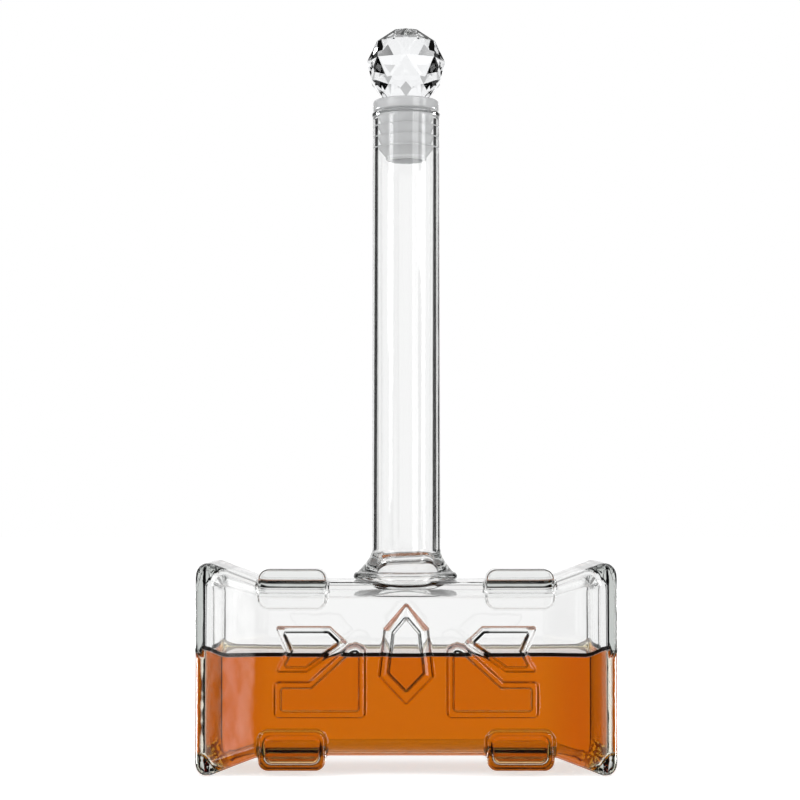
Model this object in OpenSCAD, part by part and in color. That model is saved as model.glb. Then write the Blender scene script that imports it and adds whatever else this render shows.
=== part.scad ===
// A mould-blown glass liquor decanter shaped like a war hammer.
// The hollow head lies across and stands on its two flared ends, the long neck is the handle,
// and a ribbed plug with a faceted glass ball on it closes the mouth.
// Origin at the middle of the surface it stands on, X along the head, front towards -Y, Z up.

/* [Head] */
// Length of the head, end face to end face
head_length = 203; // [192:1:230]
// Length of the straight middle, between the two flares
waist_length = 140; // [132:1:150]
// Depth of the straight middle, front to back
waist_depth = 60; // [58:1:72]
// Height of the straight middle
waist_height = 84; // [82:1:96]
// How far each end stands out in front of and behind the middle
flare_depth = 6; // [4:0.5:12]
// How far each end stands out above and below the middle
flare_height = 9; // [8:0.5:12]
// Length of the narrow flat that each end stands on
land_length = 2; // [1.5:0.5:5]
// Rounding round each end face
face_round = 5; // [4:0.5:6]
// Rounding of the long edges along the middle
waist_round = 6; // [5:0.25:7]
// Rounding of the long edges at the ends
flare_round = 8; // [7:0.25:10]
// Glass thickness of the head
head_wall = 3; // [2.25:0.25:3.5]

/* [Corner blocks] */
// Distance from the middle of the head to the middle of a block
block_offset = 55; // [50:0.5:56]
// Width of a block along the head
block_width = 32.6; // [28:0.2:34]
// Height of a block seen from the front
block_height = 19; // [17:0.5:21]
// How far a block stands out above or below the middle of the head
block_proud = 6.3; // [4:0.1:6.5]
// How far a block stands out in front
block_rise = 3.8; // [2.5:0.1:5]
// How far a block reaches back over the head
block_reach = 20; // [16:0.5:24]
// Slope of the sides of a block, measured across
block_bevel = 2.8; // [2:0.1:3]
// Rounding of the corners of a block
block_round = 5; // [4.5:0.25:6]

/* [Relief on the front] */
// Width of the long six-sided boss
gem_width = 27.2; // [24:0.2:30]
// Height of the boss
gem_height = 50.1; // [44:0.5:52]
// Height of the boss's lower tip above the surface the decanter stands on
gem_base = 33.4; // [31:0.2:36]
// How far the boss stands out
gem_rise = 3.6; // [2.5:0.1:5]
// Slope of the sides of the boss, measured across
gem_bevel = 4.2; // [3.5:0.1:5]
// Width of an upper pad
upper_pad_width = 35.4; // [33:0.2:37]
// Height of an upper pad
upper_pad_height = 22.1; // [21:0.1:24]
// Distance from the middle of the head to the tip of an upper pad
upper_pad_offset = 28.1; // [27:0.1:30]
// Height of an upper pad's lower edge
upper_pad_base = 49.4; // [49:0.1:51]
// Width of a lower panel
lower_pad_width = 44.6; // [43:0.2:46]
// Height of a lower panel
lower_pad_height = 36.1; // [35:0.1:37]
// Distance from the middle of the head to the near side of a lower panel
lower_pad_offset = 19.4; // [18.5:0.1:20]
// Height of a lower panel's lower edge
lower_pad_base = 27.4; // [26.5:0.1:28]
// How far the pads and panels stand out
pad_rise = 2.4; // [1.5:0.1:2.8]
// Slope of the sides of the pads and panels, measured across
pad_bevel = 1.7; // [1.2:0.1:1.8]
// How much smaller all round the hollow behind the relief is
hollow_inset = 1.6; // [1.2:0.1:1.8]

/* [Neck] */
// Height of the lip above the surface the decanter stands on
lip_height = 327.5; // [240:0.5:380]
// Outer width of the neck just under the lip
neck_top_width = 33.4; // [32.8:0.1:34]
// Outer width of the neck just above its foot
neck_foot_width = 34.2; // [33.4:0.1:36]
// Bore of the neck
bore_width = 28.5; // [27.5:0.1:29]
// Width of the rounded lip
lip_width = 34.2; // [34:0.1:35.5]
// Height of the rounded lip
lip_round = 2.4; // [1.8:0.1:2.8]
// Chamfer that leads from the lip into the bore
bore_lead = 0.6; // [0.3:0.1:0.8]
// Width of the welded foot
foot_width = 52; // [46:0.5:54]
// Height of the flare above the weld bead
foot_flare = 11.5; // [8:0.5:16]
// Height of the weld bead that carries the flare
bead_height = 3.9; // [3:0.1:5]
// Width of the hole in the head under the neck
mouth_width = 34; // [31:0.5:36]

/* [Liquor] */
// Height of the liquor's surface
fill_height = 57.8; // [30:0.2:80]

/* [Plug] */
// Width of the flange on the lip
flange_width = 33.2; // [31.5:0.1:34]
// Thickness of the flange
flange_height = 5.8; // [4.5:0.1:8]
// Rounding of the flange's rim
flange_round = 1.2; // [0.6:0.1:1.8]
// Width of the plug's core
core_width = 20.3; // [18:0.1:21.5]
// Wall of the hollow core and of its roof
core_wall = 1.9; // [1.2:0.1:2.4]
// Rounding of the core's lower edge
core_round = 1.1; // [0.6:0.1:1.1]
// How deep the plug reaches into the neck
plug_depth = 24.4; // [24.2:0.1:32]
// Number of sealing ribs
rib_count = 4; // [2:1:4]
// Distance from one rib to the next
rib_pitch = 5.4; // [4.4:0.1:5.4]
// Distance from the lip down to the top of the first rib
rib_start = 1.6; // [1:0.1:1.7]
// Thickness of a rib at its edge
rib_edge = 0.7; // [0.4:0.1:1]
// Width of the plug at the root of the ribs
root_width = 24.2; // [23:0.1:25]

/* [Ball] */
// Size of the cut glass ball
ball_width = 40; // [38:0.5:44]
// Distance from the middle of the ball down to its flat
ball_seat = 16.9; // [15:0.1:17.2]
// Number of facets in one row
facet_count = 8; // [6:1:12]
// Thickness of the glue between the ball and the flange
glue_height = 0.2; // [0.1:0.05:0.4]
// How far the glue stays inside the ball's flat
glue_inset = 1.2; // [0.6:0.1:2]

/* [Fits] */
// Space left round each rib in the bore
rib_clearance = 0.05; // [0.02:0.01:0.1]
// Space between the liquor and the glass
fill_clearance = 0.2; // [0.1:0.05:0.4]

/* [Hidden] */
$fn = 96;
// Cuts and hidden joints run past the surface by this much
overrun = 1;
// Parts of a quarter circle in the rounded edges of the head
arc_steps = 5;
// Points along the flare of the neck's foot
flare_steps = 8;
// How steeply the neck's foot spreads
flare_power = 1.6;

head_height = waist_height + 2 * flare_height;
head_middle = head_height / 2;
shoulder_height = head_middle + waist_height / 2;
front_face = -waist_depth / 2;
block_middle = waist_height / 2 + block_proud - block_height / 2;
block_front = front_face - block_rise;
bead_round = bead_height / 2;
foot_top = shoulder_height + bead_height + foot_flare;
flange_top = lip_height + flange_height;
ball_flat = flange_top + glue_height;
ball_middle = ball_flat + ball_seat;
flat_radius = sqrt(pow(ball_width / 2, 2) - pow(ball_seat, 2));
rib_width = bore_width - 2 * rib_clearance;

// Corners of the six-sided boss: across as shares of half its width, up as shares of its height
gem_shares = [[0, 0], [1, 0.28], [0.81, 0.74], [0, 1], [-0.81, 0.74], [-1, 0.28]];
// Corners of an upper pad as shares of its width and height, with a swallow-tail outside
upper_pad_shares = [[0.56, 0], [1, 0], [0.85, 0.46], [1, 1], [0.24, 1], [0, 0.63]];
// Corners of a lower panel as shares of its width and height, with a slanted cut above
lower_pad_shares = [[0, 0], [1, 0], [1, 0.5], [0.62, 0.5], [0.2, 0.97], [0.11, 1], [0, 0.94]];
// Latitudes of the ball's rows of corners above its flat, lowest first, the last round its table
facet_latitudes = [-22, 8, 38, 68];

function unit(vector) = vector / norm(vector);

// Normal of the edge from a to b that points into a counter-clockwise outline
function inward(a, b) = let (along = unit(b - a)) [-along[1], along[0]];

// The outline with every edge moved inwards
function shrink(outline, distance) = let (count = len(outline)) [
    for (i = [0:count - 1])
        let (before = inward(outline[(i + count - 1) % count], outline[i]),
             after = inward(outline[i], outline[(i + 1) % count]))
        outline[i] + distance * (before + after) / (1 + before * after)
];

// Outline from shares of a width and a height, moved to its place
function placed(shares, width, height, across, up) =
    [for (share = shares) [across + share[0] * width, up + share[1] * height]];

// Rounded rectangle round the origin, counter-clockwise
function rounded_box(half_width, half_height, radius) = [
    for (corner = [0:3], step = [0:arc_steps])
        let (angle = 90 * (corner + step / arc_steps),
             right = (corner == 0 || corner == 3) ? 1 : -1,
             up = corner < 2 ? 1 : -1)
        [right * (half_width - radius) + radius * cos(angle),
         up * (half_height - radius) + radius * sin(angle)]
];

// Arc round a centre as points, from one angle to another
function arc(centre_x, centre_y, radius, from, to) = [
    for (step = [0:arc_steps])
        let (angle = from + (to - from) * step / arc_steps)
        [centre_x + radius * cos(angle), centre_y + radius * sin(angle)]
];

// Closed solid through rings of equal length, each counter-clockwise seen from the last ring's side.
// The first point of a hollowed outline sees all its others, so that both caps can fan out from it
module skin(rings) {
    count = len(rings[0]);
    last = (len(rings) - 1) * count;
    walls = [
        for (ring = [0:len(rings) - 2], i = [0:count - 1])
            let (a = ring * count + i,
                 b = ring * count + (i + 1) % count)
            each [[a, a + count, b], [b, a + count, b + count]]
    ];
    first_cap = [for (i = [0:count - 1]) i];
    last_cap = [for (i = [count:-1:1]) last + i % count];
    polyhedron([for (ring = rings) each ring], concat([first_cap, last_cap], walls));
}

module both_sides() {
    children();
    mirror([1, 0, 0]) children();
}

// Stations of the head from the crease to the end face, drawn in all round by inset:
// distance along the head, half depth, half height and rounding of the long edges
function head_stations(inset) =
    let (half_depth = waist_depth / 2 - inset,
         half_height = waist_height / 2 - inset,
         arc_start = head_length / 2 - inset - face_round,
         flare_end = arc_start - land_length,
         full_run = head_length / 2 - face_round - land_length - waist_length / 2,
         spread = (flare_end - waist_length / 2) / full_run,
         end_depth = half_depth + spread * flare_depth,
         end_height = half_height + spread * flare_height)
    [
        [waist_length / 2, half_depth, half_height, waist_round],
        [flare_end, end_depth, end_height, flare_round],
        for (step = [0:arc_steps])
            let (angle = 90 * step / arc_steps,
                 drop = face_round * (1 - cos(angle)))
            [arc_start + face_round * sin(angle), end_depth - drop, end_height - drop, flare_round - drop]
    ];

module head_form(inset) {
    stations = head_stations(inset);
    last = len(stations) - 1;
    skin([
        for (i = [-last - 1:last])
            let (station = stations[i < 0 ? -1 - i : i],
                 along = i < 0 ? -station[0] : station[0])
            [for (point = rounded_box(station[1], station[2], station[3]))
                [along, point[0], head_middle + point[1]]]
    ]);
}

// A block that wraps a long front edge of the head, drawn in all round by inset
module block(inset) {
    full = rounded_box(block_width / 2 - inset, block_height / 2 - inset, block_round - inset / 2);
    small = shrink(full, block_bevel);
    back = block_front + block_reach - inset;
    skin([
        for (ring = [
            [small, back],
            [full, back - block_bevel],
            [full, front_face],
            [small, block_front + inset]
        ])
            [for (point = ring[0]) [block_offset + point[0], ring[1], block_middle + point[1]]]
    ]);
}

module blocks(inset) {
    translate([0, 0, head_middle])
        both_sides() {
            block(inset);
            mirror([0, 0, 1]) block(inset);
        }
}

// A form raised on the front, with its outline drawn in by inset and its face set back by depth
module raised(outline, inset, depth, rise, bevel) {
    base = shrink(outline, inset);
    tip = shrink(base, bevel);
    skin([
        for (ring = [
            [base, front_face + depth + head_wall / 2],
            [base, front_face + depth],
            [tip, front_face + depth - rise]
        ])
            [for (point = ring[0]) [point[0], ring[1], point[1]]]
    ]);
}

module relief(inset, depth) {
    gem = placed(gem_shares, gem_width / 2, gem_height, 0, gem_base);
    upper = placed(upper_pad_shares, upper_pad_width, upper_pad_height, upper_pad_offset, upper_pad_base);
    lower = placed(lower_pad_shares, lower_pad_width, lower_pad_height, lower_pad_offset, lower_pad_base);
    raised(gem, inset, depth, gem_rise, gem_bevel);
    both_sides() {
        raised(upper, inset, depth, pad_rise, pad_bevel);
        raised(lower, inset, depth, pad_rise, pad_bevel);
    }
}

// The space inside the head, smaller all round by gap
module cavity(gap) {
    head_form(head_wall + gap);
    blocks(head_wall + gap);
    relief(hollow_inset + gap, head_wall + gap);
}

module head_shell() {
    color("gainsboro")
        difference() {
            union() {
                head_form(0);
                blocks(0);
                relief(0, 0);
            }
            cavity(0);
            translate([0, 0, head_middle]) cylinder(h = head_height, d = mouth_width);
        }
}

module neck_tube() {
    flare_width = foot_width / 2 - bead_round - neck_foot_width / 2;
    flare = [
        for (step = [1:flare_steps])
            let (share = step / flare_steps)
            [neck_foot_width / 2 + flare_width * pow(share, flare_power), foot_top - foot_flare * share]
    ];
    color("whitesmoke")
        difference() {
            rotate_extrude()
                polygon(concat(
                    [[0, shoulder_height], [0, lip_height]],
                    arc(lip_width / 2 - lip_round / 2, lip_height - lip_round / 2, lip_round / 2, 90, -45),
                    [[neck_top_width / 2, lip_height - lip_round * 1.5], [neck_foot_width / 2, foot_top]],
                    flare,
                    arc(foot_width / 2 - bead_round, shoulder_height + bead_round, bead_round, 72, -90)
                ));
            translate([0, 0, shoulder_height - overrun])
                cylinder(h = lip_height - shoulder_height + 2 * overrun, d = bore_width);
            translate([0, 0, lip_height - bore_lead])
                cylinder(h = bore_lead, d1 = bore_width, d2 = bore_width + 2 * bore_lead);
            translate([0, 0, shoulder_height])
                cylinder(h = bead_height + foot_flare, d1 = mouth_width, d2 = bore_width);
        }
}

module spirit_fill() {
    color("darkorange")
        difference() {
            cavity(fill_clearance);
            translate([-head_length / 2, -head_length / 2, fill_height])
                cube([head_length, head_length, head_height]);
        }
}

module stopper_plug() {
    lowest = lip_height - plug_depth;
    last_rib = lip_height - rib_start - (rib_count - 1) * rib_pitch;
    ribs = [
        for (rib = [0:rib_count - 1])
            let (top = lip_height - rib_start - rib * rib_pitch)
            each [[root_width / 2, top], [rib_width / 2, top], [rib_width / 2, top - rib_edge]]
    ];
    color("lightgray")
        rotate_extrude()
            polygon(concat(
                [[0, flange_top]],
                arc(flange_width / 2 - flange_round, flange_top - flange_round, flange_round, 90, 0),
                arc(flange_width / 2 - flange_round, lip_height + flange_round, flange_round, 0, -90),
                [[root_width / 2, lip_height]],
                ribs,
                [[core_width / 2, last_rib - rib_edge - rib_width / 2 + core_width / 2]],
                arc(core_width / 2 - core_round, lowest + core_round, core_round, 0, -90),
                [[core_width / 2 - core_wall, lowest], [core_width / 2 - core_wall, flange_top - 2 * core_wall],
                 [core_width / 2 - 2 * core_wall, flange_top - core_wall], [0, flange_top - core_wall]]
            ));
}

module ball_glue() {
    color("white")
        translate([0, 0, flange_top])
            cylinder(h = glue_height, r = flat_radius - glue_inset);
}

module crystal_ball() {
    angles = concat([-acos(flat_radius / (ball_width / 2))], facet_latitudes);
    color("aliceblue")
        translate([0, 0, ball_middle])
            skin([
                for (row = [0:len(angles) - 1])
                    [for (i = [0:facet_count - 1])
                        let (turn = (360 * i + 180 * row) / facet_count - 90 - 360 / facet_count)
                        ball_width / 2 * [cos(angles[row]) * cos(turn), cos(angles[row]) * sin(turn), sin(angles[row])]]
            ]);
}

head_shell();
neck_tube();
spirit_fill();
stopper_plug();
ball_glue();
crystal_ball();
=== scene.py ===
import math
import bmesh
import bpy
import numpy as np
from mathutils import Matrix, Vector


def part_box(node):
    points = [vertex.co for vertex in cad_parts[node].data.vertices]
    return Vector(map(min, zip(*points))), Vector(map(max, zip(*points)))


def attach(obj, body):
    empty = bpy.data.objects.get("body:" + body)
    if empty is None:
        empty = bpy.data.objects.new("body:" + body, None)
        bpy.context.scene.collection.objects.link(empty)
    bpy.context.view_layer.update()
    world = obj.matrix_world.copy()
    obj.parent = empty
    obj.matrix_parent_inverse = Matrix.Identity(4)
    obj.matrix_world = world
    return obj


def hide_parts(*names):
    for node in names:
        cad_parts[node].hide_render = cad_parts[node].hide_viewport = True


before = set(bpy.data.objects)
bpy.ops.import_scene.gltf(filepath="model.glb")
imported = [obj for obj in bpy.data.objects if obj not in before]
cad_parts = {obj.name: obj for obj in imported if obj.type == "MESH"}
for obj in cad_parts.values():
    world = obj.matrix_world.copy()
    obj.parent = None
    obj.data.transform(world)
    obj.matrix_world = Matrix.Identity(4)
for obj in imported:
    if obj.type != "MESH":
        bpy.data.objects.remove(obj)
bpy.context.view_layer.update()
print("frame loaded:", sorted(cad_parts))

mm = 0.001


# small helpers

def linearColour(hexColour):
    # sRGB hex to the linear colour that sockets take
    channels = [int(hexColour[i:i + 2], 16) / 255 for i in (1, 3, 5)]
    return [c / 12.92 if c <= 0.04045 else ((c + 0.055) / 1.055) ** 2.4 for c in channels] + [1.0]


def addNode(tree, kind, inputs=None, **settings):
    # inputs are sockets to link, or values to set
    node = tree.nodes.new(kind)
    for name, value in settings.items():
        setattr(node, name, value)
    for key, value in (inputs or {}).items():
        if isinstance(value, bpy.types.NodeSocket):
            tree.links.new(value, node.inputs[key])
        else:
            node.inputs[key].default_value = value
    return node


def newMaterial(name):
    material = bpy.data.materials.new(name)
    material.use_nodes = True
    material.node_tree.nodes.clear()
    return material, material.node_tree


def linkObject(name, data, material=None):
    piece = bpy.data.objects.new(name, data)
    bpy.context.scene.collection.objects.link(piece)
    if material:
        piece.data.materials.clear()
        piece.data.materials.append(material)
    return piece


def applyModifiers(piece):
    # gives the piece a plain mesh with its modifiers' work in it
    bpy.context.view_layer.update()
    baked = bpy.data.meshes.new_from_object(piece.evaluated_get(bpy.context.evaluated_depsgraph_get()))
    old = piece.data
    piece.modifiers.clear()
    piece.data = baked
    bpy.data.meshes.remove(old)


# camera at the photo's angle

photoView = {
    "place": (-3 * mm, -1000 * mm, 132.6 * mm),
    "tiltUp": 2.862,             # degrees
    "lens": 90, "sensor": 36,    # millimetres
    "sight": 50,                 # metres, well past the floor's far edge
}


def makeCamera():
    camera = bpy.data.cameras.new("camera")
    camera.lens = photoView["lens"]
    camera.sensor_width = photoView["sensor"]
    camera.clip_end = photoView["sight"]
    holder = linkObject("camera", camera)
    holder.location = photoView["place"]
    holder.rotation_euler = (math.radians(90 + photoView["tiltUp"]), 0, 0)
    bpy.context.scene.camera = holder


# studio: a white sweep, soft lamps, dark felts that draw the edges of the glass, and lit panels that it mirrors

studio = {
    "floorSize": 12.0,
    "surround": 0.55,        # light on the object from all round
    "throughGlass": 1.25,    # light that reaches the plug and the floor through glass
    "mirrored": 0.06,        # how bright the room behind the camera is in plain reflections
    "floorColour": "#F4F4F4",
    "floorGlow": 0.62,       # lifts the floor to white, and leaves the shadow in it
    "softEdge": 3,           # degrees over which a felt or a panel fades
    # felts, in degrees: across is the angle from the front-to-back line, up is the angle over the table
    "felts": [
        {"across": (28, 43), "up": (-12, -2.2), "dark": 1.0},
        {"across": (29, 53), "up": (-2.2, 14), "dark": 1.0},
        {"across": (-9, 32), "up": (31, 46), "dark": 0.45},
        {"across": (19, 31), "up": (14, 25), "dark": 0.45},
        {"across": (-9, 30), "up": (-48, -27), "dark": 0.7},
        {"across": (-9, 99), "up": (-99, -62), "dark": 0.5},
    ],
    # panels that only plain reflections show; around is the angle from the camera's side, to the right
    "panels": [
        {"around": (-46, -27), "up": (-20, 40), "light": 1.5},
        {"around": (22.8, 46), "up": (-20, 40), "light": 4.0},
        {"around": (-124, -106), "up": (-16, -1), "light": 20.0},
        {"around": (106, 124), "up": (-16, -1), "light": 20.0},
    ],
    "ahead": 148,            # degrees around from which plain reflections show the white sweep
    "aheadSoft": 3,          # degrees either way over which it comes in
    "lamps": {               # metres and watts
        "left_softbox": {"place": (-1.3, -0.9, 0.9), "size": (0.5, 1.1), "power": 7},
        "right_softbox": {"place": (1.4, -0.6, 0.8), "size": (0.4, 1.0), "power": 5},
    },
    "lampAim": (0, 0, 0.16),
}


def whichRays(tree):
    # every ray that sees the white sweep, and of them the plainly mirrored ones, those that went through glass,
    # and those that light a dull surface through glass
    path = addNode(tree, "ShaderNodeLightPath")
    glossy, through = path.outputs["Is Glossy Ray"], path.outputs["Is Transmission Ray"]
    some = addNode(tree, "ShaderNodeMath", {0: path.outputs["Is Camera Ray"], 1: glossy}, operation="ADD")
    every = addNode(tree, "ShaderNodeMath", {0: some.outputs[0], 1: through}, operation="ADD", use_clamp=True)
    plain = addNode(tree, "ShaderNodeMath", {0: glossy, 1: through}, operation="SUBTRACT", use_clamp=True)
    inner = addNode(tree, "ShaderNodeMath", {0: path.outputs["Diffuse Depth"], 1: through}, operation="MULTIPLY",
                    use_clamp=True)
    return every.outputs[0], plain.outputs[0], through, inner.outputs[0]


def inWindow(tree, angle, low, high):
    # 1 between two angles, 0 outside them
    soft = studio["softEdge"] / 2
    rise = addNode(tree, "ShaderNodeMapRange", {0: angle, 1: low - soft, 2: low + soft},
                   interpolation_type="SMOOTHSTEP")
    fall = addNode(tree, "ShaderNodeMapRange", {0: angle, 1: high - soft, 2: high + soft, 3: 1.0, 4: 0.0},
                   interpolation_type="SMOOTHSTEP")
    return addNode(tree, "ShaderNodeMath", {0: rise.outputs[0], 1: fall.outputs[0]}, operation="MULTIPLY").outputs[0]


def inPatch(tree, turn, turnRange, up, upRange):
    # the same for a turn and a height at once
    return addNode(tree, "ShaderNodeMath", {0: inWindow(tree, turn, *turnRange), 1: inWindow(tree, up, *upRange)},
                   operation="MULTIPLY").outputs[0]


def lookAngles(tree):
    # where a ray looks, in degrees: across from the front-to-back line, around from the camera's side, and up
    look = addNode(tree, "ShaderNodeSeparateXYZ", {0: addNode(tree, "ShaderNodeTexCoord").outputs["Generated"]})
    towards = addNode(tree, "ShaderNodeMath", {0: look.outputs["Y"], 1: -1.0}, operation="MULTIPLY")
    sideways, onwards = [addNode(tree, "ShaderNodeMath", {0: look.outputs[axis]}, operation="ABSOLUTE").outputs[0]
                         for axis in ("X", "Y")]
    angles = [addNode(tree, "ShaderNodeMath", {0: sideways, 1: onwards}, operation="ARCTAN2"),
              addNode(tree, "ShaderNodeMath", {0: look.outputs["X"], 1: towards.outputs[0]}, operation="ARCTAN2"),
              addNode(tree, "ShaderNodeMath", {0: look.outputs["Z"]}, operation="ARCSINE")]
    return [addNode(tree, "ShaderNodeMath", {0: angle.outputs[0], 1: math.degrees(1)},
                    operation="MULTIPLY").outputs[0] for angle in angles]


def feltShade(tree, across, up):
    # 1 where the white sweep shows, less where a felt hangs
    shade = 1.0
    for felt in studio["felts"]:
        inside = inPatch(tree, across, felt["across"], up, felt["up"])
        left = addNode(tree, "ShaderNodeMath", {0: inside, 1: -felt["dark"], 2: 1.0}, operation="MULTIPLY_ADD")
        shade = addNode(tree, "ShaderNodeMath", {0: shade, 1: left.outputs[0]}, operation="MULTIPLY").outputs[0]
    return shade


def mirroredRoom(tree, around, up, shade):
    # a dim room behind the camera with lit panels, and the sweep ahead, where the edges of the glass mirror it
    light = studio["mirrored"]
    for panel in studio["panels"]:
        inside = inPatch(tree, around, panel["around"], up, panel["up"])
        light = addNode(tree, "ShaderNodeMath", {0: inside, 1: panel["light"], 2: light},
                        operation="MULTIPLY_ADD").outputs[0]
    turn = addNode(tree, "ShaderNodeMath", {0: around}, operation="ABSOLUTE")
    low, high = studio["ahead"] - studio["aheadSoft"], studio["ahead"] + studio["aheadSoft"]
    ahead = addNode(tree, "ShaderNodeMapRange", {0: turn.outputs[0], 1: low, 2: high},
                    interpolation_type="SMOOTHSTEP")
    return addNode(tree, "ShaderNodeMix", {0: ahead.outputs[0], 2: light, 3: shade}).outputs[0]


def makeWorld():
    world = bpy.data.worlds.new("white studio")
    world.use_nodes = True
    tree = world.node_tree
    tree.nodes.clear()
    seen, mirrored, through, inner = whichRays(tree)
    across, around, up = lookAngles(tree)
    shade = feltShade(tree, across, up)
    mixed = addNode(tree, "ShaderNodeBackground", {"Color": (1, 1, 1, 1), "Strength": studio["surround"]})
    for share, strength in ((seen, 1.0), (mirrored, mirroredRoom(tree, around, up, shade)), (through, shade),
                            (inner, studio["throughGlass"])):
        shown = addNode(tree, "ShaderNodeBackground", {"Color": (1, 1, 1, 1), "Strength": strength})
        mixed = addNode(tree, "ShaderNodeMixShader", {0: share, 1: mixed.outputs[0], 2: shown.outputs[0]})
    addNode(tree, "ShaderNodeOutputWorld", {"Surface": mixed.outputs[0]})
    bpy.context.scene.world = world


def makeFloor():
    material, tree = newMaterial("white card sweep")
    colour = linearColour(studio["floorColour"])
    matt = addNode(tree, "ShaderNodeBsdfDiffuse", {"Color": colour})
    glow = addNode(tree, "ShaderNodeEmission", {"Color": (1, 1, 1, 1), "Strength": studio["floorGlow"]})
    both = addNode(tree, "ShaderNodeAddShader", {0: matt.outputs[0], 1: glow.outputs[0]})
    mixed = addNode(tree, "ShaderNodeMixShader", {0: whichRays(tree)[0], 1: matt.outputs[0], 2: both.outputs[0]})
    addNode(tree, "ShaderNodeOutputMaterial", {"Surface": mixed.outputs[0]})
    half = studio["floorSize"] / 2
    mesh = bpy.data.meshes.new("floor")
    mesh.from_pydata([(-half, -half, 0), (half, -half, 0), (half, half, 0), (-half, half, 0)], [], [(0, 1, 2, 3)])
    floor = linkObject("floor", mesh, material)
    # glass shows the world's sweep and felts instead of the floor
    floor.visible_transmission = floor.visible_glossy = False


def makeLamps():
    for name, lamp in studio["lamps"].items():
        light = bpy.data.lights.new(name, "AREA")
        light.shape = "RECTANGLE"
        light.size, light.size_y = lamp["size"]
        light.energy = lamp["power"]
        holder = linkObject(name, light)
        holder.location = lamp["place"]
        away = holder.location - Vector(studio["lampAim"])
        holder.rotation_euler = away.to_track_quat("Z", "Y").to_euler()


# materials

def bumpOf(tree, spacing, depth):
    # uneven waves, this far apart and this deep
    place = addNode(tree, "ShaderNodeTexCoord")
    waves = addNode(tree, "ShaderNodeTexNoise", {"Vector": place.outputs["Object"], "Scale": 1 / spacing,
                                                 "Detail": 2.0, "Roughness": 0.4})
    bump = addNode(tree, "ShaderNodeBump", {"Height": waves.outputs["Fac"], "Distance": depth, "Strength": 1.0})
    return bump.outputs["Normal"]


def blownGlass(name, ripple):
    # soda-lime glass, blown into a mould: clear, greyer where it is thick, with slow ripples that bend what is
    # behind it; where liquor wets it, it mirrors almost nothing
    material, tree = newMaterial(name)
    wetted = addNode(tree, "ShaderNodeAttribute", attribute_name="wetted")
    gloss = addNode(tree, "ShaderNodeMix", {"Factor": wetted.outputs["Fac"], 6: linearColour("#FFFFFF"),
                                            7: linearColour("#404040")}, data_type="RGBA")
    glass = addNode(tree, "ShaderNodeBsdfPrincipled", {
        "Base Color": linearColour("#FFFFFF"), "Roughness": 0.0, "IOR": 1.51, "Transmission Weight": 1.0,
        "Specular Tint": gloss.outputs[2], "Normal": bumpOf(tree, 14 * mm, ripple)})
    depthTint = addNode(tree, "ShaderNodeVolumeAbsorption", {"Color": linearColour("#D2D6D3"), "Density": 20.0})
    addNode(tree, "ShaderNodeOutputMaterial", {"Surface": glass.outputs[0], "Volume": depthTint.outputs[0]})
    return material


def amberLiquor():
    # aged spirit: deep amber through the whole depth of the head; a painted shade darkens its top and stops light
    # going through it, most where it climbs the glass and in front, for the dark line seen there
    material, tree = newMaterial("amber liquor, still")
    rim = addNode(tree, "ShaderNodeAttribute", attribute_name="rim").outputs["Fac"]
    # painted shade: where the mask is 1, the liquor's surface is dark brown and lets no light through
    colour = addNode(tree, "ShaderNodeMix", {"Factor": rim, 6: linearColour("#FFFFFF"),
                                             7: linearColour("#150A05")}, data_type="RGBA")
    clear = addNode(tree, "ShaderNodeMath", {0: 1.0, 1: rim}, operation="SUBTRACT")
    liquid = addNode(tree, "ShaderNodeBsdfPrincipled", {
        "Base Color": colour.outputs[2], "Roughness": 0.0, "IOR": 1.36, "Transmission Weight": clear.outputs[0],
        "Specular Tint": linearColour("#404040")})
    depthTint = addNode(tree, "ShaderNodeVolumeAbsorption", {"Color": linearColour("#F8DF36"), "Density": 132.0})
    addNode(tree, "ShaderNodeOutputMaterial", {"Surface": liquid.outputs[0], "Volume": depthTint.outputs[0]})
    return material


def mouldedPlastic():
    # soft polyethylene, injection moulded: milky, so that it glows light grey and its ribs read as bands
    material, tree = newMaterial("natural polyethylene, injection moulded")
    plastic = addNode(tree, "ShaderNodeBsdfPrincipled", {
        "Base Color": linearColour("#F6F7F8"), "Roughness": 0.15, "IOR": 1.5, "Transmission Weight": 0.32,
        "Normal": bumpOf(tree, 2.5 * mm, 0.02 * mm)})
    addNode(tree, "ShaderNodeOutputMaterial", {"Surface": plastic.outputs[0]})
    return material


def clearGlue():
    # cured clear adhesive: a thin film with small flow marks
    material, tree = newMaterial("clear adhesive, cured")
    film = addNode(tree, "ShaderNodeBsdfPrincipled", {
        "Base Color": linearColour("#F2F2EE"), "Roughness": 0.08, "IOR": 1.49, "Transmission Weight": 1.0,
        "Normal": bumpOf(tree, 3 * mm, 0.03 * mm)})
    addNode(tree, "ShaderNodeOutputMaterial", {"Surface": film.outputs[0]})
    return material


def cutCrystal():
    # optical crystal, ground and polished in flat facets: colourless, sharp glints
    material, tree = newMaterial("optical crystal, cut and polished")
    crystal = addNode(tree, "ShaderNodeBsdfPrincipled", {
        "Base Color": linearColour("#FBFCFD"), "Roughness": 0.0, "IOR": 1.52, "Transmission Weight": 1.0,
        "Normal": bumpOf(tree, 9 * mm, 0.004 * mm)})
    addNode(tree, "ShaderNodeOutputMaterial", {"Surface": crystal.outputs[0]})
    return material


# the blown head: outside, cavity and wall as distances, negative inside

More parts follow.
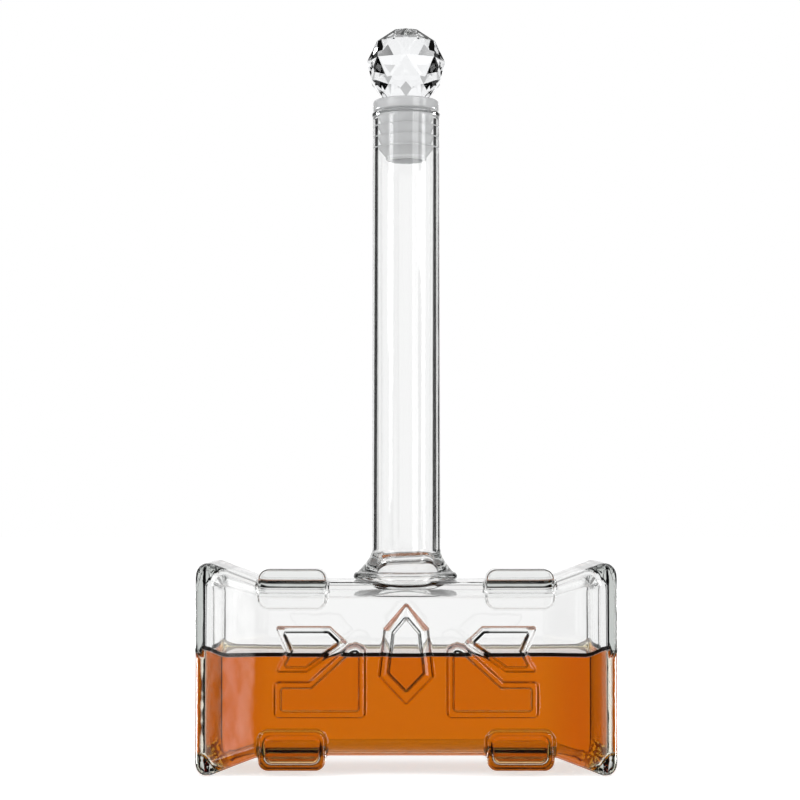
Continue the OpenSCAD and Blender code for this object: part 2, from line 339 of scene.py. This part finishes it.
head = {
    "length": 203 * mm, "waistLength": 140 * mm, "waistDepth": 60 * mm, "waistHeight": 84 * mm,
    "flareDepth": 6 * mm, "flareHeight": 9 * mm, "land": 2 * mm,
    "faceRound": 5 * mm, "waistRound": 6 * mm, "flareRound": 8 * mm, "creaseSoft": 1.5 * mm,
    "endRound": 1.6 * mm, "endBlend": 16 * mm, "hollowEndRound": 12 * mm, "softTo": 56 * mm, "sharpFrom": 62 * mm,
    "wall": 3 * mm, "mouthWidth": 34 * mm, "mouthEdge": 1.0 * mm,
    "blockOffset": 55 * mm, "blockWidth": 32.6 * mm, "blockHeight": 19 * mm, "blockProud": 6.3 * mm,
    "blockRise": 3.8 * mm, "blockReach": 20 * mm, "blockRound": 5 * mm, "blockEdge": 1.3 * mm,
    "blockLean": 8.5 * mm,
    "outerFillet": 1.5 * mm, "innerFillet": 5.0 * mm, "reliefFillet": 0.5 * mm, "reliefEdge": 0.45 * mm,
    "grid": 0.7 * mm, "reliefGrid": 0.5 * mm, "deepGrid": 1.2 * mm, "reliefReach": 13 * mm, "keptShare": 0.34,
}
gem = {
    "width": 27.2 * mm, "height": 50.1 * mm, "base": 33.4 * mm, "rise": 4.0 * mm,
    "flank": 1.3 * mm, "flankRise": 3.0 * mm, "bevel": 4.6 * mm, "edge": 1.3 * mm, "corner": 1.6 * mm,
    "hollowInset": 4.6 * mm, "hollowFlank": 1.0 * mm, "hollowCorner": 1.0 * mm,
    "shares": [(0, 0), (1, 0.28), (0.81, 0.74), (0, 1), (-0.81, 0.74), (-1, 0.28)],
}
upperPad = {
    "width": 35.4 * mm, "height": 22.1 * mm, "offset": 28.1 * mm, "base": 49.4 * mm, "rise": 2.4 * mm,
    "flank": 1.0 * mm, "flankRise": 2.1 * mm, "bevel": 2.0 * mm, "edge": 0.3 * mm, "corner": 1.4 * mm,
    "hollowInset": 2.3 * mm, "hollowFlank": 1.0 * mm, "hollowCorner": 1.4 * mm,
    "shares": [(0.56, 0), (1, 0), (0.85, 0.46), (1, 1), (0.24, 1), (0, 0.63)],
}
lowerPad = {
    "width": 44.6 * mm, "height": 36.1 * mm, "offset": 19.4 * mm, "base": 27.4 * mm, "rise": 2.4 * mm,
    "flank": 1.0 * mm, "flankRise": 2.1 * mm, "bevel": 2.4 * mm, "edge": 0.3 * mm, "corner": 2.8 * mm,
    "hollowInset": 3.1 * mm, "hollowFlank": 1.0 * mm, "hollowCorner": 1.8 * mm,
    "shares": [(0, 0), (1, 0), (1, 0.5), (0.62, 0.5), (0.2, 0.97), (0.11, 1), (0, 0.94)],
}
headHeight = head["waistHeight"] + 2 * head["flareHeight"]
headMiddle = headHeight / 2
shoulder = headMiddle + head["waistHeight"] / 2
frontFace = -head["waistDepth"] / 2


def meet(a, b, radius):
    # both at once, with a rounded edge
    u, v = a + radius, b + radius
    return np.minimum(np.maximum(u, v), 0) + np.hypot(np.maximum(u, 0), np.maximum(v, 0)) - radius


def join(a, b, radius):
    # either of them, with a fillet between
    return -meet(-a, -b, radius)


def smoothShare(value, low, high):
    # 0 up to low, 1 from high on
    share = np.clip((value - low) / (high - low), 0, 1)
    return share * share * (3 - 2 * share)


def outlineDistance(across, up, outline):
    # how far outside an outline, negative inside
    nearest, within = np.inf, False
    for (ax, az), (bx, bz) in zip(outline, outline[1:] + outline[:1]):
        ex, ez = bx - ax, bz - az
        share = np.clip(((across - ax) * ex + (up - az) * ez) / (ex * ex + ez * ez), 0, 1)
        nearest = np.minimum(nearest, np.hypot(across - ax - share * ex, up - az - share * ez))
        crossing = (az <= up) != (bz <= up)
        slope = ex / ez if ez else 0
        within = within ^ (crossing & (across < ax + slope * (up - az)))
    return np.where(within, -nearest, nearest)


def insetOutline(outline, inset):
    # the same outline, anticlockwise, with every side moved inwards
    moved = []
    for before, here, after in zip(outline[-1:] + outline[:-1], outline, outline[1:] + outline[:1]):
        a, b = math.dist(before, here), math.dist(here, after)
        ux, uz = (here[0] - before[0]) / a, (here[1] - before[1]) / a
        vx, vz = (after[0] - here[0]) / b, (after[1] - here[1]) / b
        reach = inset / (1 + ux * vx + uz * vz)
        moved.append((here[0] - (uz + vz) * reach, here[1] + (ux + vx) * reach))
    return moved


def headForm(x, y, z, inset):
    # the plain hammer head: a waist and two flared ends; inset is 0 for the outside and the wall for the cavity
    along, deep, high = np.abs(x), np.abs(y), np.abs(z - headMiddle)
    run = head["length"] / 2 - head["faceRound"] - head["land"] - head["waistLength"] / 2
    past = along - head["waistLength"] / 2
    spread = np.clip((past + np.hypot(past, head["creaseSoft"])) / 2 / run, 0, 1)
    corner = head["waistRound"] + spread * (head["flareRound"] - head["waistRound"])
    side = meet(deep - (head["waistDepth"] / 2 - inset + spread * head["flareDepth"]),
                high - (head["waistHeight"] / 2 - inset + spread * head["flareHeight"]), corner)
    slope = math.hypot(run, (head["flareDepth"] + head["flareHeight"]) / 2) / run
    end = along - (head["length"] / 2 - inset)
    # outside, the ends have round edges at the top, at the bottom and by the liquor, and sharper ones elsewhere
    overTop = np.clip(0.5 + (high - deep - (head["waistHeight"] - head["waistDepth"]) / 2) / head["endBlend"], 0, 1)
    lower = 1 - smoothShare(z, head["softTo"], head["sharpFrom"])
    outer = head["endRound"] + np.maximum(overTop, lower) * (head["faceRound"] - head["endRound"])
    return meet(side / np.where(past > 0, slope, 1), end, head["hollowEndRound"] if inset else outer)


def blocks(x, y, z, inset):
    # all four at once, mirrored about the middle
    across = np.abs(np.abs(x) - head["blockOffset"]) - (head["blockWidth"] / 2 - inset)
    middle = head["waistHeight"] / 2 + head["blockProud"] - head["blockHeight"] / 2
    up = np.abs(np.abs(z - headMiddle) - middle) - (head["blockHeight"] / 2 - inset)
    front = frontFace - head["blockRise"]
    back = np.abs(y - front - head["blockReach"] / 2) - (head["blockReach"] / 2 - inset)
    # the lower blocks slope off behind, so that they mirror the liquor above them
    slope = head["blockLean"] / head["blockProud"]
    under = y - front - head["blockReach"] + slope * (headMiddle - head["waistHeight"] / 2 - z)
    back = meet(back, under / math.hypot(1, slope) + inset, head["blockEdge"])
    return meet(meet(across, up, head["blockRound"] - inset / 2), back, head["blockEdge"])


def slant(edge, climb, run, rise):
    # distance from a side that leans: it climbs by rise over run
    return (edge * rise + climb * run) / math.hypot(run, rise)


def raised(x, y, z, form, hollow):
    # outside: a steep flank, a gentler bevel and a flat; inside: a hollow that follows it further in
    # the gem's shares count half its width from its middle, the pads' their whole width from their inner end
    half = 1 if "offset" in form else 0.5
    outline = [(form.get("offset", 0) + a * half * form["width"], form["base"] + b * form["height"])
               for a, b in form["shares"]]
    inset, corner = (form["hollowInset"], form["hollowCorner"]) if hollow else (0, form["corner"])
    edge = outlineDistance(np.abs(x), z, insetOutline(outline, inset + corner)) - corner
    climb = frontFace + (head["wall"] if hollow else 0) - y
    if hollow:
        side = slant(edge, climb, form["hollowFlank"], form["rise"])
    else:
        side = meet(slant(edge, climb, form["flank"], form["flankRise"]),
                    slant(edge + form["flank"], climb - form["flankRise"], form["bevel"] - form["flank"],
                          form["rise"] - form["flankRise"]), form["edge"])
    face = np.maximum(climb - form["rise"], -climb - head["wall"] / 2)
    return meet(side, face, head["reliefEdge"])


def withRelief(x, y, z, inset, fillet):
    stubs = blocks(x, y, z, inset)
    if inset:
        stubs = np.maximum(stubs, z - headMiddle)     # the upper blocks are filled with glass
    form = join(headForm(x, y, z, inset), stubs, fillet)
    for pad in (gem, upperPad, lowerPad):
        form = join(form, raised(x, y, z, pad, inset > 0), head["reliefFillet"])
    return form


def headOutside(x, y, z):
    return withRelief(x, y, z, 0, head["outerFillet"])


def headCavity(x, y, z):
    return withRelief(x, y, z, head["wall"], head["innerFillet"])


def headGlass(x, y, z):
    wall = np.maximum(headOutside(x, y, z), -headCavity(x, y, z))
    mouth = np.maximum(np.hypot(x, y) - head["mouthWidth"] / 2, headMiddle - z)
    return meet(wall, -mouth, head["mouthEdge"])


# distances as meshes

surface = {
    "probe": 0.15 * mm,      # how far either way a slope is measured
    "rounds": 2, "stride": 0.3 * mm, "leastSlope": 0.1,      # how points settle on a surface
    "snap": 0.02 * mm,       # points this near the waterline count as on it
    "weld": 0.002 * mm,      # the lathe joins points nearer than this
    "sliver": 0.001 * mm,    # faces thinner than this go
}


def slopeOf(field, points):
    slopes = []
    for axis in range(3):
        ahead, behind = points.copy(), points.copy()
        ahead[:, axis] += surface["probe"]
        behind[:, axis] -= surface["probe"]
        slopes.append((field(*ahead.T) - field(*behind.T)) / (2 * surface["probe"]))
    return np.stack(slopes, 1)


def settle(field, points):
    # moves points on to the surface, and gives the surface's own normals there
    for _ in range(surface["rounds"]):
        slope = slopeOf(field, points)
        move = -field(*points.T) / np.maximum((slope ** 2).sum(1), surface["leastSlope"])
        points = points + np.clip(move, -surface["stride"], surface["stride"])[:, None] * slope
    slope = slopeOf(field, points)
    return points, slope / np.maximum(np.linalg.norm(slope, axis=1), 1e-9)[:, None]


def evenAxis(low, high, step):
    # grid places, half a step off the box's low side, with a few to spare at each end
    return low - 2.5 * step + step * np.arange(math.ceil((high - low) / step) + 6)


def closerEnds(axis, margin, step):
    # the same axis, with a smaller step in a margin at each end
    middle = axis[(axis > axis[0] + margin) & (axis < axis[-1] - margin)]
    return np.concatenate([np.arange(axis[0], middle[0] - step / 2, step), middle,
                           np.arange(axis[-1], middle[-1] + step / 2, -step)[::-1]])


def surfaceNet(field, axes):
    # one point in every cell that the surface crosses, one face round every grid edge that it crosses, turned
    # so that it faces outwards
    grid = field(axes[0][:, None, None], axes[1][None, :, None], axes[2][None, None, :])
    cells = tuple(n - 1 for n in grid.shape)
    total = np.zeros((int(np.prod(cells)), 3))
    hits = np.zeros(len(total))
    faces = []
    for axis in range(3):
        count = grid.shape[axis]
        lower = np.take(grid, range(count - 1), axis)
        upper = np.take(grid, range(1, count), axis)
        crossed = (lower < 0) != (upper < 0)
        place = np.argwhere(crossed)
        before, after = lower[crossed], upper[crossed]
        point = np.stack([axes[i][place[:, i]] for i in range(3)], 1)
        point[:, axis] += np.diff(axes[axis])[place[:, axis]] * before / (before - after)
        first, second = [a for a in range(3) if a != axis]
        ring = []
        for back in ((1, 1), (0, 1), (0, 0), (1, 0)):
            cell = place.copy()
            cell[:, first] -= back[0]
            cell[:, second] -= back[1]
            index = np.ravel_multi_index(tuple(cell.T), cells)
            for i in range(3):
                total[:, i] += np.bincount(index, point[:, i], len(total))
            hits += np.bincount(index, minlength=len(total))
            ring.append(index)
        ring = np.stack(ring, 1)
        inwards = (before > 0) if axis != 1 else (before < 0)
        ring[inwards] = ring[inwards][:, ::-1]
        faces.append(ring)
    used = hits > 0
    number = np.cumsum(used) - 1
    return total[used] / hits[used][:, None], number[np.concatenate(faces)]


def pointsOf(mesh):
    points = np.empty(len(mesh.vertices) * 3)
    mesh.vertices.foreach_get("co", points)
    return points.reshape(-1, 3)


def setAttribute(mesh, name, values):
    mesh.attributes.new(name, "FLOAT", "POINT").data.foreach_set("value", values.astype(np.float32))


def formedMesh(name, field, axes, keptShare=1.0, waterline=None):
    points, faces = surfaceNet(field, axes)
    points, _ = settle(field, points)
    mesh = bpy.data.meshes.new(name)
    mesh.from_pydata(points.tolist(), [], faces.tolist())
    piece = linkObject(name, mesh)
    if keptShare < 1:
        thin = piece.modifiers.new("thin the flats", "DECIMATE")
        thin.ratio = keptShare
        applyModifiers(piece)
        mesh = piece.data
    if waterline:
        # an edge all along it, so that what the liquor wets ends in a clean line
        form = bmesh.new()
        form.from_mesh(mesh)
        bmesh.ops.bisect_plane(form, geom=form.verts[:] + form.edges[:] + form.faces[:],
                               dist=surface["snap"], plane_co=(0, 0, waterline), plane_no=(0, 0, 1))
        bmesh.ops.triangulate(form, faces=[face for face in form.faces if len(face.verts) > 3])
        form.to_mesh(mesh)
        form.free()
    points, normals = settle(field, pointsOf(mesh))
    mesh.vertices.foreach_set("co", points.astype(np.float32).ravel())
    mesh.update()
    mesh.shade_smooth()
    mesh.normals_split_custom_set_from_vertices(normals.tolist())
    print(name + ":", len(mesh.vertices), "points")
    return piece


# geometry nodes

def newTree(name, inputs):
    tree = bpy.data.node_groups.new(name, "GeometryNodeTree")
    tree.interface.new_socket("Geometry", in_out="OUTPUT", socket_type="NodeSocketGeometry")
    for label, kind in inputs:
        tree.interface.new_socket(label, in_out="INPUT", socket_type="NodeSocket" + kind)
    return tree, addNode(tree, "NodeGroupInput")


def endTree(tree, shape, material):
    real = addNode(tree, "GeometryNodeRealizeInstances", {"Geometry": shape})
    dressed = addNode(tree, "GeometryNodeSetMaterial", {"Geometry": real.outputs[0], "Material": material})
    addNode(tree, "NodeGroupOutput", {"Geometry": dressed.outputs[0]})
    return tree


def applyTree(piece, tree, inputs):
    # a modifier takes its inputs by their sockets' identifiers
    nodes = piece.modifiers.new(tree.name, "NODES")
    nodes.node_group = tree
    for name, value in inputs.items():
        socket = next(item for item in tree.interface.items_tree
                      if item.item_type == "SOCKET" and item.in_out == "INPUT" and item.name == name)
        nodes[socket.identifier] = value
    applyModifiers(piece)


def latheTree():
    # a sheet whose columns go round the upright axis and whose rows follow the outline's points
    tree, given = newTree("lathe", (("Outline", "Geometry"), ("Points", "Int"), ("Segments", "Int"),
                                    ("Material", "Material")))
    plusOne = [addNode(tree, "ShaderNodeMath", {0: given.outputs[name], 1: 1.0}, operation="ADD")
               for name in ("Segments", "Points")]
    sheet = addNode(tree, "GeometryNodeMeshGrid", {"Size X": 1.0, "Size Y": 1.0,
                                                   "Vertices X": plusOne[0].outputs[0],
                                                   "Vertices Y": plusOne[1].outputs[0]})
    place = addNode(tree, "ShaderNodeSeparateXYZ", {0: addNode(tree, "GeometryNodeInputPosition").outputs[0]})
    turn = addNode(tree, "ShaderNodeMath", {0: place.outputs["X"], 1: 2 * math.pi}, operation="MULTIPLY")
    share = addNode(tree, "ShaderNodeMath", {0: place.outputs["Y"], 1: 0.5}, operation="ADD")
    step = addNode(tree, "ShaderNodeMath", {0: share.outputs[0], 1: given.outputs["Points"]}, operation="MULTIPLY")
    whole = addNode(tree, "ShaderNodeMath", {0: step.outputs[0]}, operation="ROUND")
    index = addNode(tree, "ShaderNodeMath", {0: whole.outputs[0], 1: given.outputs["Points"]}, operation="MODULO")
    corner = addNode(tree, "GeometryNodeInputPosition")
    sample = addNode(tree, "GeometryNodeSampleIndex", {
        "Geometry": given.outputs["Outline"], "Value": corner.outputs[0], "Index": index.outputs[0]},
                     data_type="FLOAT_VECTOR", domain="POINT")
    swung = addNode(tree, "ShaderNodeVectorRotate", {"Vector": sample.outputs["Value"], "Angle": turn.outputs[0]},
                    rotation_type="Z_AXIS")
    shaped = addNode(tree, "GeometryNodeSetPosition", {"Geometry": sheet.outputs["Mesh"],
                                                       "Position": swung.outputs[0]})
    closed = addNode(tree, "GeometryNodeMergeByDistance", {"Geometry": shaped.outputs[0],
                                                           "Distance": surface["weld"]})
    return endTree(tree, closed.outputs[0], given.outputs["Material"])


def outwards(mesh):
    form = bmesh.new()
    form.from_mesh(mesh)
    bmesh.ops.dissolve_degenerate(form, dist=surface["sliver"], edges=form.edges)
    bmesh.ops.recalc_face_normals(form, faces=form.faces)
    form.to_mesh(mesh)
    form.free()


def turned(name, outline, segments, material, sharpAngle=40):
    # outline is a closed loop of (radius, height)
    mesh = bpy.data.meshes.new(name)
    mesh.from_pydata([(radius, 0, height) for radius, height in outline], [], [])
    piece = linkObject(name, mesh, material)
    applyTree(piece, lathe, {"Points": len(outline), "Segments": segments, "Material": material})
    outwards(piece.data)
    piece.data.shade_smooth()
    piece.data.set_sharp_from_angle(angle=math.radians(sharpAngle))
    print(name + ":", len(piece.data.vertices), "points")
    return piece


def arcPoints(centre, radius, start, end, steps):
    # angles in degrees
    return [(centre[0] + radius * math.cos(math.radians(start + (end - start) * i / steps)),
             centre[1] + radius * math.sin(math.radians(start + (end - start) * i / steps)))
            for i in range(steps + 1)]


# pieces

nearAxis = 0.01 * mm      # a turned outline ends here, and the lathe closes the rest


def makeHead(glass):
    low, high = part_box("head_shell")
    # from front to back, the grid is finest through the relief
    reliefEnd = frontFace + head["reliefReach"]
    axes = [evenAxis(low.x, high.x, head["grid"]),
            np.append(np.arange(low.y - 2 * head["reliefGrid"], reliefEnd, head["reliefGrid"]),
                      np.arange(reliefEnd, high.y + 3 * head["deepGrid"], head["deepGrid"])),
            evenAxis(low.z, high.z, head["grid"])]
    wetTop = liquor["level"] + liquor["rise"]
    piece = formedMesh("head_glass", headGlass, axes, head["keptShare"], wetTop)
    piece.data.materials.append(glass)
    x, y, z = pointsOf(piece.data).T
    innerWall = np.abs(headCavity(x, y, z)) < head["wall"] / 4
    setAttribute(piece.data, "wetted", innerWall & (z < wetTop))
    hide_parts("head_shell")
    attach(piece, "decanter")


neck = {
    "lipHeight": 327.5 * mm, "topWidth": 33.4 * mm, "footWidth": 34.2 * mm, "bore": 28.5 * mm,
    "lipWidth": 34.2 * mm, "lipRound": 2.4 * mm, "lipTurn": (90, -45), "lipSteps": 8, "boreLead": 0.6 * mm,
    "foot": 52 * mm, "flare": 11.5 * mm, "flarePower": 1.6, "flareSteps": 16,
    "bead": 3.9 * mm, "beadTurn": (72, -90), "beadSteps": 10, "sunk": 0.5 * mm, "segments": 160,
    # waves round the foot: how many, where they start, and their depth as a share of the radius
    "wobble": [(2, 0.8, 0.010), (3, 2.1, 0.012), (5, 4.0, 0.008), (9, 1.2, 0.005)],
    "wobbleTo": 3 * mm, "stillFrom": 6 * mm,      # full this far below the flare's top, gone this far above it
    "wobbleSkin": 2.3 * mm,                       # only what lies further than this outside the bore
    "wobbleLean": 160,                            # radians that the waves turn in a metre of height
}


def makeNeck(glass):
    top = neck["lipHeight"]
    footTop = shoulder + neck["bead"] + neck["flare"]
    bead = neck["bead"] / 2
    flareWidth = neck["foot"] / 2 - bead - neck["footWidth"] / 2
    outline = [(head["mouthWidth"] / 2, shoulder - neck["sunk"]), (neck["bore"] / 2, footTop),
               (neck["bore"] / 2, top - neck["boreLead"]), (neck["bore"] / 2 + neck["boreLead"], top)]
    lip = neck["lipRound"] / 2
    outline += arcPoints((neck["lipWidth"] / 2 - lip, top - lip), lip, *neck["lipTurn"], neck["lipSteps"])
    outline += [(neck["topWidth"] / 2, top - 3 * lip), (neck["footWidth"] / 2, footTop)]
    for step in range(1, neck["flareSteps"] + 1):
        share = step / neck["flareSteps"]
        outline.append((neck["footWidth"] / 2 + flareWidth * share ** neck["flarePower"],
                        footTop - neck["flare"] * share))
    outline += arcPoints((neck["foot"] / 2 - bead, shoulder + bead), bead, *neck["beadTurn"], neck["beadSteps"])
    outline.append((neck["foot"] / 2 - 2 * bead, shoulder - neck["sunk"]))
    piece = turned("neck_glass", outline, neck["segments"], glass)
    # the weld ran a little while it was hot: its outside wobbles round the foot
    points = pointsOf(piece.data)
    turn = np.arctan2(points[:, 1], points[:, 0])
    fade = 1 - smoothShare(points[:, 2], footTop - neck["wobbleTo"], footTop + neck["stillFrom"])
    fade *= np.hypot(points[:, 0], points[:, 1]) > neck["bore"] / 2 + neck["wobbleSkin"]
    swing = sum(depth * np.sin(count * turn + start + neck["wobbleLean"] * points[:, 2])
                for count, start, depth in neck["wobble"])
    points[:, :2] *= (1 + fade * swing)[:, None]
    piece.data.vertices.foreach_set("co", points.ravel())
    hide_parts("neck_tube")
    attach(piece, "decanter")


plug = {
    "flangeWidth": 33.2 * mm, "flangeHeight": 5.8 * mm, "flangeRound": 1.2 * mm, "flangeSteps": 6,
    "coreWidth": 20.3 * mm, "coreWall": 1.9 * mm, "coreRound": 1.1 * mm, "coreSteps": 5, "depth": 24.4 * mm,
    "ribs": 4, "ribPitch": 5.4 * mm, "ribStart": 1.6 * mm, "ribEdge": 0.7 * mm, "root": 24.2 * mm,
    "ribWidth": 28.52 * mm, "segments": 128, "sharpAngle": 30,
}


def makePlug(plastic):
    lip = neck["lipHeight"]
    top = lip + plug["flangeHeight"]
    lowest = lip - plug["depth"]
    edge = plug["flangeRound"]
    half = plug["flangeWidth"] / 2 - edge
    core = plug["coreWidth"] / 2
    outline = [(nearAxis, top)]
    outline += arcPoints((half, top - edge), edge, 90, 0, plug["flangeSteps"])
    outline += arcPoints((half, lip + edge), edge, 0, -90, plug["flangeSteps"])
    outline.append((plug["root"] / 2, lip))
    for rib in range(plug["ribs"]):
        height = lip - plug["ribStart"] - rib * plug["ribPitch"]
        outline += [(plug["root"] / 2, height), (plug["ribWidth"] / 2, height),
                    (plug["ribWidth"] / 2, height - plug["ribEdge"])]
    # a cone under the lowest rib, then the core, hollow from below
    outline.append((core, height - plug["ribEdge"] - plug["ribWidth"] / 2 + core))
    edge = plug["coreRound"]
    outline += arcPoints((core - edge, lowest + edge), edge, 0, -90, plug["coreSteps"])
    inner = core - plug["coreWall"]
    outline += [(inner, lowest), (inner, top - 2 * plug["coreWall"]),
                (inner - plug["coreWall"], top - plug["coreWall"]), (nearAxis, top - plug["coreWall"])]
    piece = turned("ribbed_plug", outline, plug["segments"], plastic, plug["sharpAngle"])
    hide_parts("stopper_plug")
    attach(piece, "stopper")


glue = {"thick": 0.2 * mm, "edgeWidth": 0.1 * mm, "edgeHeight": 0.05 * mm, "segments": 64}


def makeGlue(film):
    low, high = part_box("ball_glue")
    radius = high.x
    flat = radius - glue["edgeWidth"]
    outline = [(nearAxis, low.z), (nearAxis, high.z), (flat, high.z), (radius, high.z - glue["edgeHeight"]),
               (radius, low.z + glue["edgeHeight"]), (flat, low.z)]
    piece = turned("glue_film", outline, glue["segments"], film)
    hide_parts("ball_glue")
    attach(piece, "stopper")


ball = {
    "width": 40 * mm, "seat": 16.9 * mm, "facets": 8, "arris": 0.15 * mm,
    "rows": [-22, 8, 38, 68],    # degrees over the ball's middle
}


def ballTree():
    # rows of corners round the ball, every other row turned by half a facet, wrapped in flat facets
    tree, given = newTree("cut ball", (("Radius", "Float"), ("Facets", "Int"), ("Middle", "Float"),
                                       ("Material", "Material")))
    joined = addNode(tree, "GeometryNodeJoinGeometry")
    lowest = -math.degrees(math.asin(ball["seat"] / (ball["width"] / 2)))
    for row, latitude in enumerate([lowest] + ball["rows"]):
        angle = math.radians(latitude)
        wide = addNode(tree, "ShaderNodeMath", {0: given.outputs["Radius"], 1: math.cos(angle)}, operation="MULTIPLY")
        rise = addNode(tree, "ShaderNodeMath", {0: given.outputs["Radius"], 1: math.sin(angle)}, operation="MULTIPLY")
        ring = addNode(tree, "GeometryNodeMeshCircle", {"Vertices": given.outputs["Facets"],
                                                        "Radius": wide.outputs[0]})
        lift = addNode(tree, "ShaderNodeCombineXYZ", {"Z": rise.outputs[0]})
        turn = math.pi * row / ball["facets"] - math.pi / 2
        moved = addNode(tree, "GeometryNodeTransform", {"Geometry": ring.outputs[0], "Translation": lift.outputs[0],
                                                        "Rotation": (0, 0, turn)})
        tree.links.new(moved.outputs[0], joined.inputs[0])
    hull = addNode(tree, "GeometryNodeConvexHull", {"Geometry": joined.outputs[0]})
    up = addNode(tree, "ShaderNodeCombineXYZ", {"Z": given.outputs["Middle"]})
    placed = addNode(tree, "GeometryNodeTransform", {"Geometry": hull.outputs[0], "Translation": up.outputs[0]})
    return endTree(tree, placed.outputs[0], given.outputs["Material"])


def makeBall(crystal):
    middle = neck["lipHeight"] + plug["flangeHeight"] + glue["thick"] + ball["seat"]
    piece = linkObject("cut_ball", bpy.data.meshes.new("cut_ball"), crystal)
    applyTree(piece, ballTree(), {"Radius": ball["width"] / 2, "Facets": ball["facets"], "Middle": middle,
                                  "Material": crystal})
    arris = piece.modifiers.new("polished arris", "BEVEL")
    arris.width = ball["arris"]
    arris.segments = 1
    applyModifiers(piece)
    outwards(piece.data)
    piece.data.shade_flat()
    print("cut_ball:", len(piece.data.vertices), "points")
    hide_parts("crystal_ball")
    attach(piece, "stopper")


liquor = {
    "level": 57.8 * mm,
    "rise": 1.1 * mm, "reach": 1.3 * mm,                     # how high it climbs the glass, and from how far off
    "endClimb": 3.0, "endsFrom": 86 * mm, "endsTo": 98 * mm,    # this many times more in the rounded ends
    "rimDepth": 2.0 * mm, "rimFade": 0.25 * mm,              # how deep the painted shade goes under the top
    "rimWidth": 4.0 * mm, "paintedShadeOpen": 0.3,                    # how far from the glass the painted shade is full, and what is left of it past that
    "paintedShadeBehind": 0.35, "farReach": 10 * mm,                     # what is left of the painted shade behind the middle
    "overlap": 0.6 * mm,                                     # into the glass, so that no air shows between them
    "grid": 1.1 * mm, "rimGrid": 0.35 * mm,
    "fineEnds": (14 * mm, 1.3), "fineSides": (11 * mm, 1),   # how far in, and the step as times rimGrid
}


def liquorRise(x):
    # the liquid climbs further in the rounded ends
    ends = smoothShare(np.abs(x), liquor["endsFrom"], liquor["endsTo"])
    return liquor["rise"] * (1 + liquor["endClimb"] * ends)


def liquorForm(x, y, z):
    # its top climbs towards the glass
    wall = headCavity(x, y, z)
    level = liquor["level"] + liquorRise(x) * np.exp(np.clip(wall / liquor["reach"], -20, 0))
    return np.maximum(wall - liquor["overlap"], z - level)


def makeLiquor(spirit):
    low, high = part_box("spirit_fill")
    # a finer grid where the liquid climbs the walls
    axes = [closerEnds(evenAxis(low[i], high[i], liquor["grid"]), margin, liquor["rimGrid"] * times)
            for i, (margin, times) in enumerate((liquor["fineEnds"], liquor["fineSides"]))]
    rimStart = liquor["level"] - 2 * liquor["grid"]
    rimEnd = liquor["level"] + (2 + liquor["endClimb"]) * liquor["rise"]
    upright = evenAxis(low.z, high.z, liquor["grid"])
    axes.append(np.append(upright[upright < rimStart], np.arange(rimStart, rimEnd, liquor["rimGrid"])))
    piece = formedMesh("amber_liquor", liquorForm, axes)
    piece.data.materials.append(spirit)
    x, y, z = pointsOf(piece.data).T
    # painted shade on the liquor's top: full near the glass and in front, only a share of it further from the glass
    # and behind
    below = liquor["level"] + liquorRise(x) - z
    offGlass = smoothShare(-headCavity(x, y, z), liquor["rimWidth"] / 2, liquor["rimWidth"])
    nearTop = 1 - smoothShare(below, liquor["rimDepth"] - liquor["rimFade"], liquor["rimDepth"])
    behind = 1 - (1 - liquor["paintedShadeBehind"]) * smoothShare(y, -liquor["farReach"], liquor["farReach"])
    setAttribute(piece.data, "rim", nearTop * behind * (1 - (1 - liquor["paintedShadeOpen"]) * offGlass))
    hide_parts("spirit_fill")
    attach(piece, "decanter")


makeCamera()
makeWorld()
makeFloor()
makeLamps()
bpy.context.scene.view_settings.view_transform = "Standard"
print("studio ready")

lathe = latheTree()
makeHead(blownGlass("soda-lime glass, mould-blown", 0.10 * mm))
makeNeck(blownGlass("soda-lime glass, drawn tube", 0.03 * mm))
makeLiquor(amberLiquor())
makePlug(mouldedPlastic())
makeGlue(clearGlue())
makeBall(cutCrystal())
